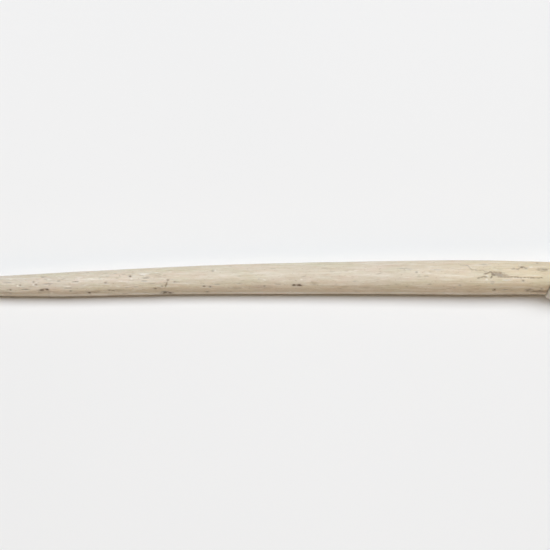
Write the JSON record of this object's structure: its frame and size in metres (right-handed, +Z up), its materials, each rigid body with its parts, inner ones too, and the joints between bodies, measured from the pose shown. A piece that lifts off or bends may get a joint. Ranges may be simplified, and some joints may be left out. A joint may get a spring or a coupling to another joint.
{
  "type": "bone folder",
  "caption": "Long, slim, hand-carved bone folder: a tapering bone blade with a flattened folding tip, a raised pale collar and a rounded butt handle.",
  "frame": {"origin": "middle of the tool's box, on the plane that it lies on", "axes": "+X from the folding tip to the butt, +Y across the blade away from its steep flank, +Z up from the plane that it lies on"},
  "size_m": [0.2252, 0.012, 0.0103],
  "materials": {
    "aged_bone": "satin",
    "pale_bone": "satin",
    "dowel_bone": "matte",
    "rusty_iron": "matte"
  },
  "bodies": {
    "root": {"bone_blade": "aged_bone", "collar_ring": "pale_bone", "butt_handle": "aged_bone", "joining_dowel": "dowel_bone", "blade_pin": "rusty_iron", "handle_pin": "rusty_iron"}
  },
  "joints": []
}
